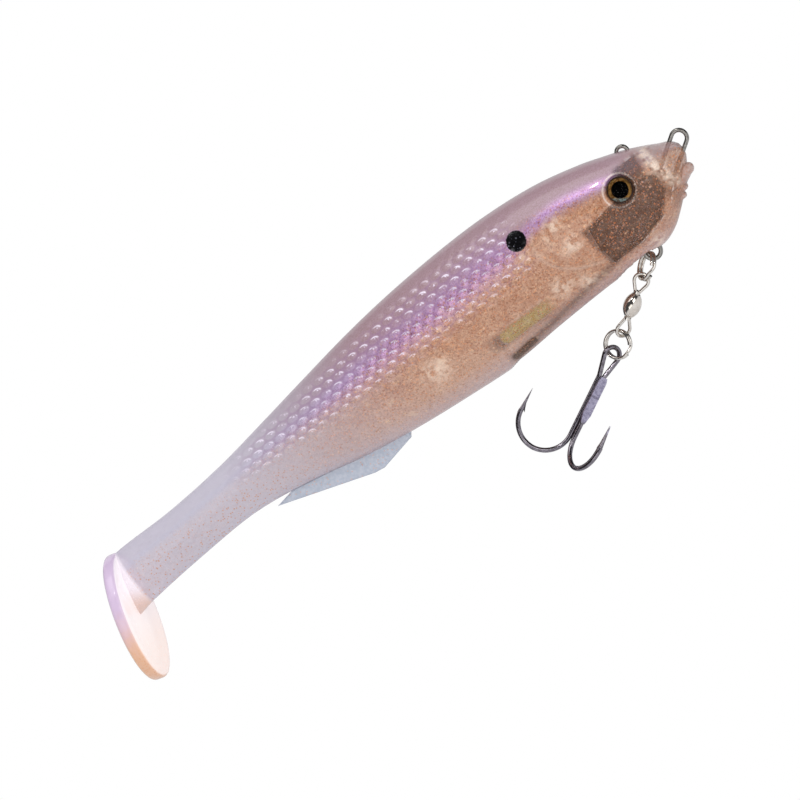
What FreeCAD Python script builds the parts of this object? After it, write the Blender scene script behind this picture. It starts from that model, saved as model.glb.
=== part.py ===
"""A soft paddle-tail swimbait with a weighted wire harness and a belly treble on a swivel chain.

Millimetres. +X runs to the nose, +Z to the back of the fish, +Y to its left side.
The origin is the centre of the nose line tie, where the fishing line pulls.
"""
import math
import os

import FreeCAD
import Part
from FreeCAD import Rotation, Vector

# ---- driving dimensions -------------------------------------------------------------------------
# Stations of the soft moulding from snout to tail: (x, top z, bottom z, half width).
STATIONS = [
    (-1.2, -0.4, -6.6, 2.4),
    (-4.0, 1.3, -7.6, 4.2),
    (-9.0, 3.9, -11.4, 6.3),
    (-14.0, 6.0, -14.5, 7.4),
    (-20.0, 7.7, -15.4, 8.1),
    (-30.0, 9.8, -15.5, 8.8),
    (-42.0, 10.8, -15.9, 9.0),
    (-54.0, 10.7, -16.6, 8.9),
    (-68.0, 9.8, -15.8, 8.2),
    (-80.0, 8.4, -15.0, 7.1),
    (-92.0, 6.5, -13.4, 5.7),
    (-104.0, 4.5, -10.6, 4.4),
    (-117.0, 2.5, -9.0, 3.5),
    (-131.0, 1.4, -9.8, 2.8),
    (-146.4, 1.3, -11.0, 2.2),
]
WIDEST_AT = 0.55  # height of the widest line, as a share of the depth
BACK_POWER = 2.3  # superellipse powers of the back and of the belly
BELLY_POWER = 1.9
SECTION_POINTS = 20

FLEX_X = -113.0  # the soft wrist where the tail wags
FLEX_LIMIT = 30.0
FLEX_RELIEF = 2.0
KNUCKLE_RADIUS = 2.4
KNUCKLE_GAP = 0.35

PADDLE_TOP = Vector(-145.5, 0, 0.8)
PADDLE_HEIGHT = 26.8
PADDLE_WIDTH = 24.4
PADDLE_THICK = 2.3
PADDLE_SWEEP = 15.0  # degrees that the paddle leans back from upright
FIN_THICK = 1.2

TIE_WIRE = 0.45  # radius of the harness wire
TIE_BEND = 1.6
TIE_RISE = 33.0  # degrees that the nose tie points up
TOP_TIE = Vector(-11.1, 0, 4.5)
TOP_TIE_BEND = 1.2
TOP_TIE_WIRE = 0.4
HANGER = Vector(-18.4, 0, -14.8)  # centre of the hanger's round bottom
HANGER_BEND = 1.7

WEIGHT_HALF = 4.2
WEIGHT_SHARE = 0.72  # of the fish's own width, so that its sides follow the head
WEIGHT_NECK_HALF = 1.7

EYE = Vector(-14.4, 6.2, -1.0)  # back of the left eye's iris
EYE_TURN = 9.0  # degrees that each eye faces forward
EYE_RADIUS = 2.9
IRIS_THICK = 0.5
PUPIL_RADIUS = 1.75
PUPIL_THICK = 0.15
DOME_HEIGHT = 1.35

MOUTH_HALF = 8.0
GROOVE_HALF = 2.2
GROOVE_REAR_X = -56.0
GROOVE_REAR_Z = -14.7
POCKET_HALF = 3.8
POCKET_FRONT_X = -14.6
POCKET_REAR_X = -27.0
POCKET_ROOF_Z = -12.7

CAPSULE_RADIUS = 1.5
CAPSULE_WALL = 0.3
CAPSULE_REAR_X = -54.5
CAPSULE_LENGTH = 14.0
CAPSULE_Z = -11.1
MAGNET_RADIUS = 0.8
MAGNET_LENGTH = 8.0

CHAIN_DROP = 32.0  # degrees below the fish's axis that the hanging chain points, aft
SHANK_DROP = 27.6
SHANK_LEAN = 15.0  # degrees that the treble swings out to the fish's right
RING_WIRE = 0.32
RING_BEND = 2.8  # centre of the wire
COIL_PITCH = 0.68
SWIVEL_WIRE = 0.35
SWIVEL_BEND = 1.45
SWIVEL_NECK = 2.95  # from the eye's centre to the barrel
BARREL_LENGTH = 4.8
BARREL_RADIUS = 1.8
BARREL_END = 0.85
BARREL_WALL = 0.35
BARREL_HOLE = 0.58
NECK_RADIUS = 0.5
COLLAR_RADIUS = 0.74
HEAD_RADIUS = 0.8

HOOK_WIRE = 0.5
HOOK_EYE_BEND = 1.7
HOOK_SPREAD = 0.64  # each shank wire's distance from the treble's axis
HOOK_LEG_BEND = 3.0  # where the eye's legs come together on the shank
HOOK_BEND = 5.6
HOOK_SHANK_START = 7.3  # hook stations run along the treble, from one ring radius short of the ring's wire
HOOK_PLATE_END = 17.4
PLATE_HALF = 0.95  # half the width of the single hook's flattened shank
PLATE_THICK = 0.42
HOOK_BOTTOM = 26.0
HOOK_TIP = 15.4
HOOK_TAPER = 5.6
BARB_HALF = 0.14

# How far each ring's wire sits off the centre of the eye that it hangs in.
HANGER_SEAT = 0.6
UPPER_EYE_SEAT = 0.42
LOWER_EYE_SEAT = 0.45
HOOK_EYE_SEAT = -0.2

# Turn of each link about the chain, 0 being flat in the fish's own plane.
FRONT_RING_ROLL = 58.0
LOWER_EYE_ROLL = -40.0
REAR_RING_ROLL = 20.0
SINGLE_HOOK_ROLL = -35.5

AXIS_X = Vector(1, 0, 0)
AXIS_Y = Vector(0, 1, 0)
AXIS_Z = Vector(0, 0, 1)


# ---- helpers ------------------------------------------------------------------------------------
def drop(degrees):
    """Unit vector pointing aft and down by this angle."""
    a = math.radians(degrees)
    return Vector(-math.cos(a), 0, -math.sin(a))


def around(direction, roll):
    """Unit vector square to direction: 0 degrees is the fish's right side, 90 degrees its back."""
    up = direction.cross(AXIS_Y).normalize()
    if up.z < 0:
        up = up * -1
    a = math.radians(roll)
    side = up.cross(direction)
    return side * math.cos(a) + up * math.sin(a)


def wire_form(points, bends, radius):
    """Round wire along straight runs, with an arc of the given radius at each inner point."""
    edges = []
    start = points[0]
    for i, bend in enumerate(bends):
        corner = points[i + 1]
        back = (points[i] - corner).normalize()
        on = (points[i + 2] - corner).normalize()
        half = back.getAngle(on) / 2
        reach = bend / math.tan(half)
        middle = (back + on).normalize() * (bend / math.sin(half) - bend)
        first = corner + back * reach
        last = corner + on * reach
        if (first - start).Length > 1e-4:
            edges.append(Part.LineSegment(start, first).toShape())
        edges.append(Part.Arc(first, corner + middle, last).toShape())
        start = last
    if (points[-1] - start).Length > 1e-4:
        edges.append(Part.LineSegment(start, points[-1]).toShape())
    end = Part.Face(Part.Wire(Part.Circle(points[0], points[1] - points[0], radius).toShape()))
    return Part.Wire(edges).makePipe(end)


def profile_prism(corners, half):
    """Solid between y = -half and +half over corners given as (x, z)."""
    points = [Vector(x, -half, z) for x, z in corners]
    return Part.Face(Part.makePolygon(points + points[:1])).extrude(AXIS_Y * 2 * half)


def mirrored(shape):
    """The same piece on the fish's right side."""
    return shape.mirror(Vector(0, 0, 0), AXIS_Y)


# ---- the soft moulding --------------------------------------------------------------------------
def section(station):
    """One closed cross-section, fuller over the back than under the belly."""
    x, top, bottom, half = station
    level = bottom + WIDEST_AT * (top - bottom)
    points = []
    for i in range(SECTION_POINTS):
        a = 2 * math.pi * i / SECTION_POINTS
        power = BACK_POWER if math.sin(a) > 0 else BELLY_POWER
        side = math.copysign(abs(math.cos(a)) ** (2 / power), math.cos(a))
        rise = abs(math.sin(a)) ** (2 / power)
        height = (top - level) * rise if math.sin(a) > 0 else (bottom - level) * rise
        points.append(Vector(x, half * side, level + height))
    curve = Part.BSplineCurve()
    curve.interpolate(points, PeriodicFlag=True)
    return Part.Wire(curve.toShape())


def moulding(width=1.0):
    """The whole fish without fin and paddle; a smaller width gives a slimmer one of the same outline."""
    sections = [section((x, top, bottom, half * width)) for x, top, bottom, half in STATIONS]
    return Part.makeLoft(sections, True, False)


def anal_fin():
    """Thin blade under the rear of the belly, with its rear tip free."""
    outline = [
        (-79.6, -12.0),
        (-79.6, -14.9),
        (-89.4, -16.8),
        (-92.4, -16.3),
        (-110.4, -10.4),
        (-106.5, -7.5),
    ]
    return profile_prism(outline, FIN_THICK / 2)


def paddle():
    """Oval disc square to the fish, leaning back towards its foot."""
    lean = Rotation(AXIS_Y, PADDLE_SWEEP)
    face = lean.multVec(AXIS_X)
    down = lean.multVec(AXIS_Z * -1)
    middle = PADDLE_TOP + down * (PADDLE_HEIGHT / 2)
    oval = Part.Ellipse(middle + down * (PADDLE_HEIGHT / 2), middle + AXIS_Y * (PADDLE_WIDTH / 2), middle)
    return Part.Face(Part.Wire(oval.toShape())).extrude(face * -PADDLE_THICK)


def mouth_gap():
    """The slit between the upper jaw and the lip, which the nose tie's lower leg runs through."""
    return profile_prism([(1.0, -2.3), (-6.0, -4.4), (-6.0, -4.6), (1.0, -3.9)], MOUTH_HALF)


def chain_groove():
    """Groove under the belly that the hook and its chain lie along, with a wider pocket round the hanger."""
    below = -20.0
    groove = profile_prism(
        [
            (POCKET_REAR_X + 2.0, below),
            (POCKET_REAR_X + 2.0, POCKET_ROOF_Z - 0.3),
            (GROOVE_REAR_X, GROOVE_REAR_Z),
            (GROOVE_REAR_X, below),
        ],
        GROOVE_HALF,
    )
    pocket = profile_prism(
        [
            (POCKET_FRONT_X, below),
            (POCKET_FRONT_X, POCKET_ROOF_Z - 1.3),
            (POCKET_FRONT_X - 1.3, POCKET_ROOF_Z),
            (POCKET_REAR_X + 3.0, POCKET_ROOF_Z),
            (POCKET_REAR_X, POCKET_ROOF_Z - 1.3),
            (POCKET_REAR_X, below),
        ],
        POCKET_HALF,
    )
    return groove.fuse(pocket)


def split_at_wrist(whole):
    """(front, tail): the tail ends in a round knuckle, and the front opens in a vee that lets it wag."""
    low, high = -30.0, 20.0
    foot = Vector(FLEX_X, 0, low)
    behind = Part.makeBox(60, 60, high - low, Vector(FLEX_X - 60, -30, low))
    ahead = Part.makeBox(130, 60, high - low, Vector(FLEX_X, -30, low))
    knuckle = Part.makeCylinder(KNUCKLE_RADIUS, high - low, foot, AXIS_Z)
    socket = Part.makeCylinder(KNUCKLE_RADIUS + KNUCKLE_GAP, high - low, foot, AXIS_Z)
    spread = math.tan(math.radians(FLEX_LIMIT + FLEX_RELIEF)) * 30
    vee = None
    for side in (1, -1):
        corners = [foot, foot + Vector(0, 30 * side, 0), foot + Vector(spread, 30 * side, 0)]
        wedge = Part.Face(Part.makePolygon(corners + corners[:1])).extrude(AXIS_Z * (high - low))
        vee = wedge if vee is None else vee.fuse(wedge)
    front = whole.common(ahead).cut(socket).cut(vee)
    tail = whole.common(behind.fuse(knuckle))
    return front, tail


# ---- harness ------------------------------------------------------------------------------------
def nose_tie():
    """Wire loop standing out of the snout; both legs run back into the head weight."""
    a = math.radians(TIE_RISE)
    on = Vector(math.cos(a), 0, math.sin(a))
    up = Vector(-math.sin(a), 0, math.cos(a))
    tip = on * TIE_BEND
    reach = 10.5
    points = [
        up * TIE_BEND - on * reach,
        tip + up * TIE_BEND,
        tip - up * TIE_BEND,
        up * -TIE_BEND - on * reach,
    ]
    return wire_form(points, [TIE_BEND, TIE_BEND], TIE_WIRE)


def top_tie():
    """Small staple on top of the head, a second place for the line."""
    b = TOP_TIE_BEND
    foot = -3.6
    points = [
        TOP_TIE + Vector(-b, 0, foot),
        TOP_TIE + Vector(-b, 0, b),
        TOP_TIE + Vector(b, 0, b),
        TOP_TIE + Vector(b, 0, foot),
    ]
    return wire_form(points, [b, b], TOP_TIE_WIRE)


def hook_hanger():
    """Staple under the throat that the front split ring swings on."""
    b = HANGER_BEND
    head = 5.0
    points = [
        HANGER + Vector(-b, 0, head),
        HANGER + Vector(-b, 0, -b),
        HANGER + Vector(b, 0, -b),
        HANGER + Vector(b, 0, head),
    ]
    return wire_form(points, [b, b], TIE_WIRE)


def head_weight():
    """Cast ballast that grips all three wires, with a neck up to the top tie."""
    block = profile_prism(
        [
            (-25.4, -3.6),
            (-19.4, -2.4),
            (-11.0, -1.6),
            (-7.6, -2.2),
            (-6.8, -5.9),
            (-9.0, -8.0),
            (-10.8, -10.0),
            (-15.6, -11.5),
            (-19.6, -12.2),
            (-25.0, -12.2),
            (-25.8, -7.8),
        ],
        WEIGHT_HALF,
    )
    rims = [e for e in block.Edges if abs(abs(e.CenterOfMass.y) - WEIGHT_HALF) < 0.01]
    block = block.makeChamfer(0.8, rims).common(moulding(WEIGHT_SHARE))
    neck = profile_prism([(-13.3, -2.5), (-13.0, 2.6), (-9.0, 2.6), (-8.4, -2.5)], WEIGHT_NECK_HALF)
    hole = Part.makeCylinder(0.6, 12, Vector(-23.6, -6, -10.6), AXIS_Y)
    return block.fuse(neck).cut(hole)


# ---- eyes ---------------------------------------------------------------------------------------
def eye_parts():
    """(iris, pupil, dome, socket) of the left eye, each built along +Z and then turned to face outwards."""
    iris = Part.makeCylinder(EYE_RADIUS - 0.2, IRIS_THICK)
    pupil = Part.makeCylinder(PUPIL_RADIUS, PUPIL_THICK, AXIS_Z * IRIS_THICK)
    ball = (EYE_RADIUS**2 + DOME_HEIGHT**2) / (2 * DOME_HEIGHT)
    cap = Part.makeSphere(ball, AXIS_Z * (IRIS_THICK + DOME_HEIGHT - ball))
    cap = cap.common(Part.makeCylinder(EYE_RADIUS, DOME_HEIGHT, AXIS_Z * IRIS_THICK))
    dome = cap.cut(pupil)
    socket = Part.makeCylinder(EYE_RADIUS, 6.0, AXIS_Z * IRIS_THICK)
    socket = socket.fuse(iris)
    turn = Rotation(AXIS_Z, -EYE_TURN).multiply(Rotation(AXIS_X, -90))
    place = FreeCAD.Placement(EYE, turn)
    made = []
    for shape in (iris, pupil, dome, socket):
        shape.Placement = place.multiply(shape.Placement)
        made.append(shape)
    return made


# ---- hook keeper --------------------------------------------------------------------------------
def capsule_form(radius):
    """Rod with a round rear end, the outside or the inside of the capsule."""
    rear = Vector(CAPSULE_REAR_X + CAPSULE_RADIUS, 0, CAPSULE_Z)
    rod = Part.makeCylinder(radius, CAPSULE_LENGTH - CAPSULE_RADIUS, rear, AXIS_X)
    return rod.fuse(Part.makeSphere(radius, rear))


def keeper_capsule():
    """Tinted tube with a round rear end, moulded in above the groove."""
    return capsule_form(CAPSULE_RADIUS).cut(capsule_form(CAPSULE_RADIUS - CAPSULE_WALL))


def capsule_plug():
    front = Vector(CAPSULE_REAR_X + CAPSULE_LENGTH - 1.6, 0, CAPSULE_Z)
    return Part.makeCylinder(CAPSULE_RADIUS - CAPSULE_WALL, 1.6, front, AXIS_X)


def keeper_magnet():
    rear = Vector(CAPSULE_REAR_X + 2.6, 0, CAPSULE_Z + CAPSULE_WALL)
    return Part.makeCylinder(MAGNET_RADIUS, MAGNET_LENGTH, rear, AXIS_X)


# ---- chain --------------------------------------------------------------------------------------
def split_ring(centre, direction, roll):
    """Two flat coils of wire joined by one step, with direction and roll giving the ring's plane."""
    across = around(direction, roll)
    side = across.cross(direction).normalize()
    half = COIL_PITCH / 2
    gap = 22.0

    def at(degrees, rise):
        a = math.radians(degrees)
        spoke = side * math.cos(a) + direction * math.sin(a)
        return centre + spoke * RING_BEND + across * rise

    def along(degrees):
        a = math.radians(degrees)
        return side * -math.sin(a) + direction * math.cos(a)

    first = Part.Arc(at(gap, -half), at(180, -half), at(360 - gap, -half))
    last = Part.Arc(at(gap, half), at(180, half), at(360 - gap, half))
    step = Part.BSplineCurve()
    step.interpolate(
        [at(-gap, -half), at(0, 0), at(gap, half)], InitialTangent=along(-gap), FinalTangent=along(gap)
    )
    path = Part.Wire([first.toShape(), step.toShape(), last.toShape()])
    end = Part.Wire(Part.Circle(at(gap, -half), along(gap), RING_WIRE).toShape())
    return path.makePipeShell([end], True, False)


def eye_corners(centre, out, wide, bend, foot, spread):
    """The two legs' feet and the two corners that a loop of this bend is wound between."""
    turn = math.asin(bend / math.hypot(foot, spread)) - math.atan2(spread, foot)
    legs = []
    for side in (1, -1):
        base = centre - out * foot + wide * (spread * side)
        on = out * math.cos(turn) + wide * (math.sin(turn) * side)
        legs.append((base, base + on * ((foot + bend) / math.cos(turn))))
    return legs


def swivel_eye(centre, out, roll):
    """Wire loop round centre, its two legs upset into a collar and one neck that a head keeps in the barrel."""
    wide = around(drop(CHAIN_DROP), roll + 90)
    foot = SWIVEL_NECK - 0.45
    left, right = eye_corners(centre, out, wide, SWIVEL_BEND, foot, SWIVEL_WIRE + 0.02)
    loop = wire_form([left[0], left[1], right[1], right[0]], [SWIVEL_BEND, SWIVEL_BEND], SWIVEL_WIRE)
    mouth = centre - out * SWIVEL_NECK
    collar = Part.makeCylinder(COLLAR_RADIUS, 0.5, mouth + out * 0.75, out * -1)
    stem = Part.makeCylinder(NECK_RADIUS, 1.35, mouth + out * 0.35, out * -1)
    head = Part.makeCylinder(HEAD_RADIUS, 0.4, mouth - out * 0.9, out * -1)
    return collar.fuse([stem, head]).fuse(loop)


def swivel_barrel(start, direction):
    """Hollow oval shell with a hole at each end for the necks."""
    middle = BARREL_LENGTH / 2

    def at(along, radius):
        return Vector(radius, 0, along)

    inner = BARREL_RADIUS - BARREL_WALL
    front, rear = BARREL_WALL, BARREL_LENGTH - BARREL_WALL
    hole = BARREL_HOLE
    edges = [
        Part.LineSegment(at(0, hole), at(0, BARREL_END)),
        Part.Arc(at(0, BARREL_END), at(middle, BARREL_RADIUS), at(BARREL_LENGTH, BARREL_END)),
        Part.LineSegment(at(BARREL_LENGTH, BARREL_END), at(BARREL_LENGTH, hole)),
        Part.LineSegment(at(BARREL_LENGTH, hole), at(rear, hole)),
        Part.Arc(at(rear, hole), at(middle, inner), at(front, hole)),
        Part.LineSegment(at(front, hole), at(0, hole)),
    ]
    outline = Part.Wire([edge.toShape() for edge in edges])
    barrel = Part.Face(outline).revolve(Vector(0, 0, 0), AXIS_Z, 360)
    barrel.Placement = FreeCAD.Placement(start, Rotation(AXIS_Z, direction))
    return barrel


# ---- treble hook --------------------------------------------------------------------------------
def bend_points(origin, direction, out):
    """Centre line of one hook from the bottom of its shank to the start of its tapered point."""
    far = HOOK_SPREAD + 2 * HOOK_BEND
    low = origin + direction * HOOK_BOTTOM + out * HOOK_SPREAD
    high = origin + direction * HOOK_BOTTOM + out * far
    tip = origin + direction * HOOK_TIP + out * (far - 0.35)
    back = (high - tip).normalize()
    return low, high, tip, tip + back * HOOK_TAPER


def sharpen(wire, tip, root):
    """Continue the wire that ends at root into a long cone, as one closed skin."""
    along = (tip - root).normalize()
    cone = Part.makeCone(HOOK_WIRE, 0.03, (tip - root).Length, root, along)
    cap = [f for f in wire.Faces if (f.CenterOfMass - root).Length < 0.01][0]
    base = [f for f in cone.Faces if (f.CenterOfMass - root).Length < 0.01][0]
    here = base.Vertexes[0].Point - root
    there = cap.Vertexes[0].Point - root
    turn = math.degrees(math.atan2(here.cross(there).dot(along), here.dot(there)))
    cone.rotate(root, along, turn)
    skin = [f for f in wire.Faces if not f.isSame(cap)]
    skin += [f for f in cone.Faces if (f.CenterOfMass - root).Length > 0.01]
    shell = Part.Shell(skin)
    shell.sewShape()
    return Part.Solid(shell)


def barb(tip, root, out):
    """Sliver cut up from the inner side of the point, aiming back at the bend."""
    along = (tip - root).normalize()
    inward = out * -1
    side = along.cross(out).normalize()
    base = root + along * 0.5 - side * BARB_HALF
    corners = [
        base + inward * (HOOK_WIRE + 0.38),
        base + inward * (HOOK_WIRE * 0.5) + along * 0.5,
        base + inward * (HOOK_WIRE * 0.5) + along * 2.0,
        base + inward * (HOOK_WIRE + 0.1) + along * 0.8,
    ]
    return Part.Face(Part.makePolygon(corners + corners[:1])).extrude(side * 2 * BARB_HALF)


def double_hook(origin, direction, outs, eye_side):
    """One wire with the eye in its middle, both its legs running down the shank into two of the hooks."""
    plane = origin + (outs[0] + outs[1]) * (HOOK_SPREAD / 2)
    apart = HOOK_SPREAD * math.sin(math.radians(60))
    eye = plane + direction * (RING_BEND + HOOK_EYE_SEAT)
    foot = HOOK_SHANK_START - RING_BEND - HOOK_EYE_SEAT
    legs = eye_corners(eye, direction * -1, eye_side, HOOK_EYE_BEND, foot, apart)
    points = []
    ends = []
    for out, leg in zip(outs, legs):
        low, high, tip, root = bend_points(origin, direction, out)
        points.append([root, high, low, leg[0], leg[1]])
        ends.append((tip, root, out))
    bends = [HOOK_BEND, HOOK_BEND, HOOK_LEG_BEND, HOOK_EYE_BEND]
    made = wire_form(points[0] + points[1][::-1], bends + bends[::-1], HOOK_WIRE)
    for tip, root, out in ends:
        made = sharpen(made, tip, root)
    for tip, root, out in ends:
        made = made.fuse(barb(tip, root, out))
    return made


def single_hook(origin, direction, out):
    """The third hook, its shank forged flat where it is brazed on."""
    low, high, tip, root = bend_points(origin, direction, out)
    begin = origin + direction * (HOOK_PLATE_END - 1.5) + out * HOOK_SPREAD
    made = wire_form([begin, low, high, root], [HOOK_BEND, HOOK_BEND], HOOK_WIRE)
    side = direction.cross(out).normalize()
    base = origin + direction * HOOK_SHANK_START + out * (HOOK_SPREAD + 0.05)
    length = HOOK_PLATE_END - HOOK_SHANK_START
    half_outline = [(PLATE_HALF * 0.72, 0.0), (PLATE_HALF, 1.0), (PLATE_HALF, length - 2.0), (0.45, length)]
    corners = [base + side * across + direction * down for across, down in half_outline]
    corners += [base - side * across + direction * down for across, down in half_outline[::-1]]
    plate = Part.Face(Part.makePolygon(corners + corners[:1])).extrude(out * PLATE_THICK)
    return sharpen(made, tip, root).fuse([plate, barb(tip, root, out)])


def shank_solder(origin, direction, outs, hooks):
    """Braze metal that fills the valley between the three shanks."""
    start = origin + direction * (HOOK_SHANK_START + 1.0)
    corners = [start + out * (HOOK_SPREAD * 1.1) for out in outs]
    rod = Part.Face(Part.makePolygon(corners + corners[:1])).extrude(direction * 7.5)
    for hook in hooks:
        rod = rod.cut(hook)
    return rod


# ---- assembly -----------------------------------------------------------------------------------
def chain_parts():
    """Every link from the hanger to the hook, each placed from the one before it."""
    along = drop(CHAIN_DROP)
    front_centre = HANGER + along * (HANGER_SEAT + RING_BEND)
    upper_eye = front_centre + along * (RING_BEND + UPPER_EYE_SEAT)
    barrel_start = upper_eye + along * SWIVEL_NECK
    lower_eye = barrel_start + along * (BARREL_LENGTH + SWIVEL_NECK)
    rear_centre = lower_eye + along * (LOWER_EYE_SEAT + RING_BEND)
    hung = drop(SHANK_DROP)
    lean = math.radians(SHANK_LEAN)
    shank = hung * math.cos(lean) - AXIS_Y * math.sin(lean)
    hook_origin = rear_centre + (hung - shank) * RING_BEND
    single_out = around(shank, SINGLE_HOOK_ROLL)
    double_outs = [around(shank, SINGLE_HOOK_ROLL + 120), around(shank, SINGLE_HOOK_ROLL - 120)]
    eye_side = around(shank, SINGLE_HOOK_ROLL + 90)
    double = double_hook(hook_origin, shank, double_outs, eye_side)
    single = single_hook(hook_origin, shank, single_out)
    return {
        "front_split_ring": split_ring(front_centre, along, FRONT_RING_ROLL),
        "swivel_upper_eye": swivel_eye(upper_eye, along * -1, 0),
        "swivel_barrel": swivel_barrel(barrel_start, along),
        "swivel_lower_eye": swivel_eye(lower_eye, along, LOWER_EYE_ROLL),
        "rear_split_ring": split_ring(rear_centre, along, REAR_RING_ROLL),
        "treble_double_hook": double,
        "treble_single_hook": single,
        "treble_solder": shank_solder(hook_origin, shank, [single_out] + double_outs, [double, single]),
    }


def harness_room(weight, ties):
    """The room that the weight and its wires take up in the moulding."""
    room = weight
    for wire in ties.values():
        room = room.fuse(wire)
    return room


def all_parts():
    """Every piece by its node name."""
    parts = chain_parts()
    ties = {"nose_line_tie": nose_tie(), "top_line_tie": top_tie(), "hook_hanger": hook_hanger()}
    weight = head_weight()
    for wire in ties.values():
        weight = weight.cut(wire)
    iris, pupil, dome, socket = eye_parts()
    front, tail = split_at_wrist(moulding())
    front = front.fuse(anal_fin())
    front = front.cut(harness_room(weight, ties))
    for tool in (socket, mirrored(socket), capsule_form(CAPSULE_RADIUS), mouth_gap(), chain_groove()):
        front = front.cut(tool)
    parts.update(ties)
    parts.update(
        {
            "soft_body": front,
            "soft_tail": tail.fuse(paddle()),
            "head_weight": weight,
            "left_eye_iris": iris,
            "left_eye_pupil": pupil,
            "left_eye_dome": dome,
            "right_eye_iris": mirrored(iris),
            "right_eye_pupil": mirrored(pupil),
            "right_eye_dome": mirrored(dome),
            "keeper_capsule": keeper_capsule(),
            "capsule_plug": capsule_plug(),
            "keeper_magnet": keeper_magnet(),
        }
    )
    return parts


def main():
    os.makedirs("parts", exist_ok=True)
    for name, shape in sorted(all_parts().items()):
        shape.Solids[0].exportStep(f"parts/{name}.step")
        print(f"{name:20s} solids {len(shape.Solids)} valid {shape.isValid()} volume {shape.Volume:9.2f} mm3")


main()
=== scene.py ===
import math

import bmesh
import bpy
from mathutils import Matrix, Vector


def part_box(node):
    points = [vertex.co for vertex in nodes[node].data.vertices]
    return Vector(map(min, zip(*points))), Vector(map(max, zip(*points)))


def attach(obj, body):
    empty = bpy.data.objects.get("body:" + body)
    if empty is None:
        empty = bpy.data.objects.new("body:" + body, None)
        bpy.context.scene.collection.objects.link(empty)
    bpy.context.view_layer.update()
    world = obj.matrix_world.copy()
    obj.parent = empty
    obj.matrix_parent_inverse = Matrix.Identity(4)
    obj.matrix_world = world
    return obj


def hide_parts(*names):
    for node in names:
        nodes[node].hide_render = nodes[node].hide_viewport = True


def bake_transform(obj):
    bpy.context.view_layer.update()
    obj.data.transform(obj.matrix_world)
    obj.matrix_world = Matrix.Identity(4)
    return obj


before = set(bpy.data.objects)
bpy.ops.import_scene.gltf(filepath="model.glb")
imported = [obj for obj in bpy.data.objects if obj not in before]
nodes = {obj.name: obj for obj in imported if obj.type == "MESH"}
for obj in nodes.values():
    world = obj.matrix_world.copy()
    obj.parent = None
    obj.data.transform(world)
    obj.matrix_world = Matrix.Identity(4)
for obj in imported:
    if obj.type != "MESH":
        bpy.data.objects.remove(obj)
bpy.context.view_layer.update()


# ---- The soft fish: skin ------------------------------------------------------------------------
# One moulding of translucent plastisol, poured full of copper glitter, with a mauve back and a pearl
# stripe sprayed on in the mould. Its scales, gill cover, eye sockets and belly groove are moulded in.
MM = 0.001  # sizes below are in millimetres, and the scene is in metres
OUTLINE = (  # from snout to wrist: place along the fish, back, belly, half the width
    (-0.6, -1.9, -2.3, 0.3),
    (-1.0, -0.6, -3.6, 1.6),
    (-2.4, 0.8, -5.6, 3.0),
    (-4.2, 1.6, -8.0, 4.1),
    (-6.4, 2.7, -9.8, 5.2),
    (-9.0, 3.9, -11.9, 6.2),
    (-11.4, 4.9, -13.6, 6.9),
    (-14.5, 5.9, -14.9, 7.4),
    (-20.0, 7.6, -15.7, 8.1),
    (-30.0, 9.7, -15.8, 8.8),
    (-42.0, 10.7, -16.3, 9.0),
    (-54.0, 10.6, -17.0, 8.9),
    (-68.0, 9.7, -16.2, 8.2),
    (-80.0, 8.3, -15.1, 7.1),
    (-92.0, 6.4, -13.4, 5.7),
    (-104.0, 4.4, -10.9, 4.4),
    (-117.0, 2.4, -9.4, 3.5),
    (-131.0, 1.2, -10.0, 2.8),
    (-144.6, 1.0, -11.2, 2.2),
    (-149.0, 0.2, -12.0, 1.7),
)
WIDEST_AT = 0.55
BACK_POWER = 2.3
BELLY_POWER = 1.9
RINGS = 330
RING_POINTS = 200
SCALE_LONG = 3.0
SCALE_ROW = 1.65
SCALE_RISE = 0.3
SCALE_HALF_LONG = 1.75
SCALE_HALF_HIGH = 1.5
SCALE_BASE = -3.0  # height of a row of scales, from which the rows are counted
SCALE_STRETCH = 1.12  # the round of the side makes rows look closer than they are
GILL_MIDDLE = (-21.0, -1.6)
GILL_REACH = (14.4, 9.4)
MOUTH_CORNER = (-15.0, -10.4)
CREASES = (  # start, end, depth, width
    ((-4.6, -7.4), MOUTH_CORNER, 0.22, 0.35),
    (MOUTH_CORNER, (-19.5, -8.2), 0.15, 0.4),
)
NOSTRIL = (-6.2, 0.6)
SPOT_AT = (-37.3, 3.2)
EYE_AT = Vector((-14.4, 6.2, -1.0))
EYE_TURN = math.radians(9)
EYE_RIM = 2.95
GROOVE_FRONT = -15.0
GROOVE_REAR = -56.0
GROOVE_HALF = 2.25
GROOVE_FLARE = 0.9


def blend_at(x, low, high):
    """Rises smoothly from 0 at low to 1 at high; low may be the larger."""
    t = min(max((x - low) / (high - low), 0.0), 1.0)
    return t * t * (3 - 2 * t)


def outline_at(x):
    """Back, belly and half width of the fish at this place, on a smooth curve through the outline."""
    rows = OUTLINE
    i = 0
    while i < len(rows) - 2 and x < rows[i + 1][0]:
        i += 1
    here, there = rows[i], rows[i + 1]
    before, after = rows[max(i - 1, 0)], rows[min(i + 2, len(rows) - 1)]
    span = there[0] - here[0]
    t = (x - here[0]) / span
    found = []
    for k in (1, 2, 3):
        slope_here = (there[k] - before[k]) / (there[0] - before[0]) * span
        slope_there = (after[k] - here[k]) / (after[0] - here[0]) * span
        a = 2 * here[k] - 2 * there[k] + slope_here + slope_there
        b = 3 * there[k] - 3 * here[k] - 2 * slope_here - slope_there
        found.append(((a * t + b) * t + slope_here) * t + here[k])
    return found


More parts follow.
